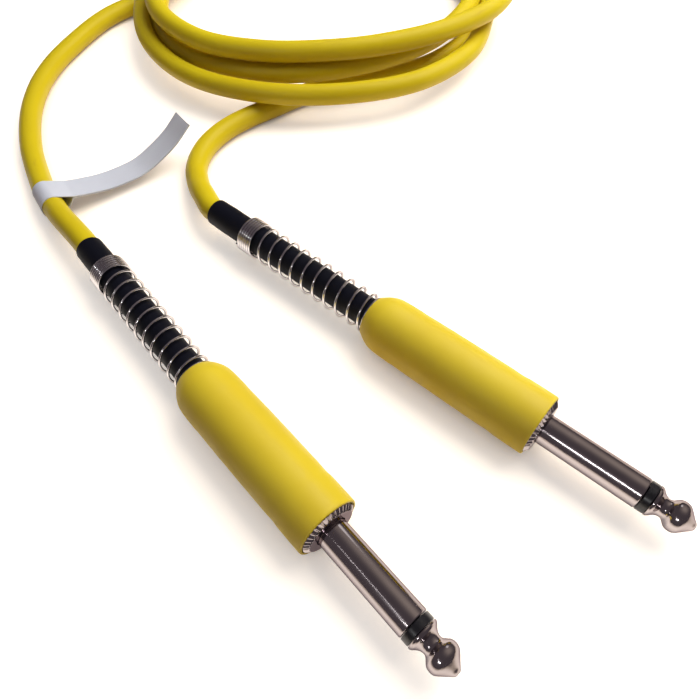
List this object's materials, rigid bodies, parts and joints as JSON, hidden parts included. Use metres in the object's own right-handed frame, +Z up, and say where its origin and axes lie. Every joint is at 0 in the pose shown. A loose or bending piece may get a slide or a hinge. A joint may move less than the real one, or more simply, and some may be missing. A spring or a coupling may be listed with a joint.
{
  "type": "instrument cable",
  "caption": "Coiled instrument cable with a straight mono phone plug, sprung strain relief and screw-on gripped barrel on each end, and a blank label tape.",
  "frame": {"origin": "on the surface the cable lies on, under the middle of the box round the two plugs", "axes": "+Z up, +Y from the plug tips towards the coil, +X to the right with the plugs pointing at the viewer; plug a is the left one, plug b the right one"},
  "size_m": [0.1605, 0.281, 0.0199],
  "materials": {
    "nickel": "polished nickel plate on brass",
    "brass": "plain",
    "tinned_steel": "tin plated",
    "copper": "twisted bare strands",
    "black_plastic": "satin",
    "white_plastic": "satin",
    "yellow_grip": "matte soft sleeve",
    "yellow_jacket": "satin",
    "white_tape": "matte"
  },
  "bodies": {
    "cable": {"tip_contact_a": "nickel", "tip_insulator_a": "black_plastic", "sleeve_shaft_a": "nickel", "threaded_collar_a": "nickel", "earth_tag_clamp_a": "tinned_steel", "rear_washer_a": "black_plastic", "tip_solder_lug_a": "brass", "heat_shrink_a": "black_plastic", "signal_core_a": "white_plastic", "screen_pigtail_a": "copper", "tip_contact_b": "nickel", "tip_insulator_b": "black_plastic", "sleeve_shaft_b": "nickel", "threaded_collar_b": "nickel", "earth_tag_clamp_b": "tinned_steel", "rear_washer_b": "black_plastic", "tip_solder_lug_b": "brass", "heat_shrink_b": "black_plastic", "signal_core_b": "white_plastic", "screen_pigtail_b": "copper", "cable_lead_a": "yellow_jacket", "cable_coil": "yellow_jacket", "cable_lead_b": "yellow_jacket", "label_tape": "white_tape"},
    "spring_a": {"relief_spring_a": "nickel"},
    "barrel_a": {"barrel_shell_a": "nickel", "barrel_liner_a": "white_plastic", "barrel_grip_a": "yellow_grip"},
    "spring_b": {"relief_spring_b": "nickel"},
    "barrel_b": {"barrel_shell_b": "nickel", "barrel_liner_b": "white_plastic", "barrel_grip_b": "yellow_grip"}
  },
  "joints": [
    {"name": "barrel_travel_a", "type": "slide", "parent": "cable", "child": "spring_a", "axis": [-0.6461, 0.7632, 0], "range_m": [0, 0.0071]},
    {"name": "barrel_turn_a", "type": "hinge", "parent": "spring_a", "child": "barrel_a", "pos_m": [-0.00094, -0.03027, 0.00675], "axis": [-0.6461, 0.7632, 0], "range_deg": [0, 2520]},
    {"name": "barrel_travel_b", "type": "slide", "parent": "cable", "child": "spring_b", "axis": [-0.7402, 0.6724, 0], "range_m": [0, 0.0071]},
    {"name": "barrel_turn_b", "type": "hinge", "parent": "spring_b", "child": "barrel_b", "pos_m": [0.04108, -0.01159, 0.00675], "axis": [-0.7402, 0.6724, 0], "range_deg": [0, 2520]}
  ],
  "couplings": [
    {"joint": "barrel_travel_a", "follows": "barrel_turn_a", "m_per_rad": 0.00015915},
    {"joint": "barrel_travel_b", "follows": "barrel_turn_b", "m_per_rad": 0.00015915}
  ]
}
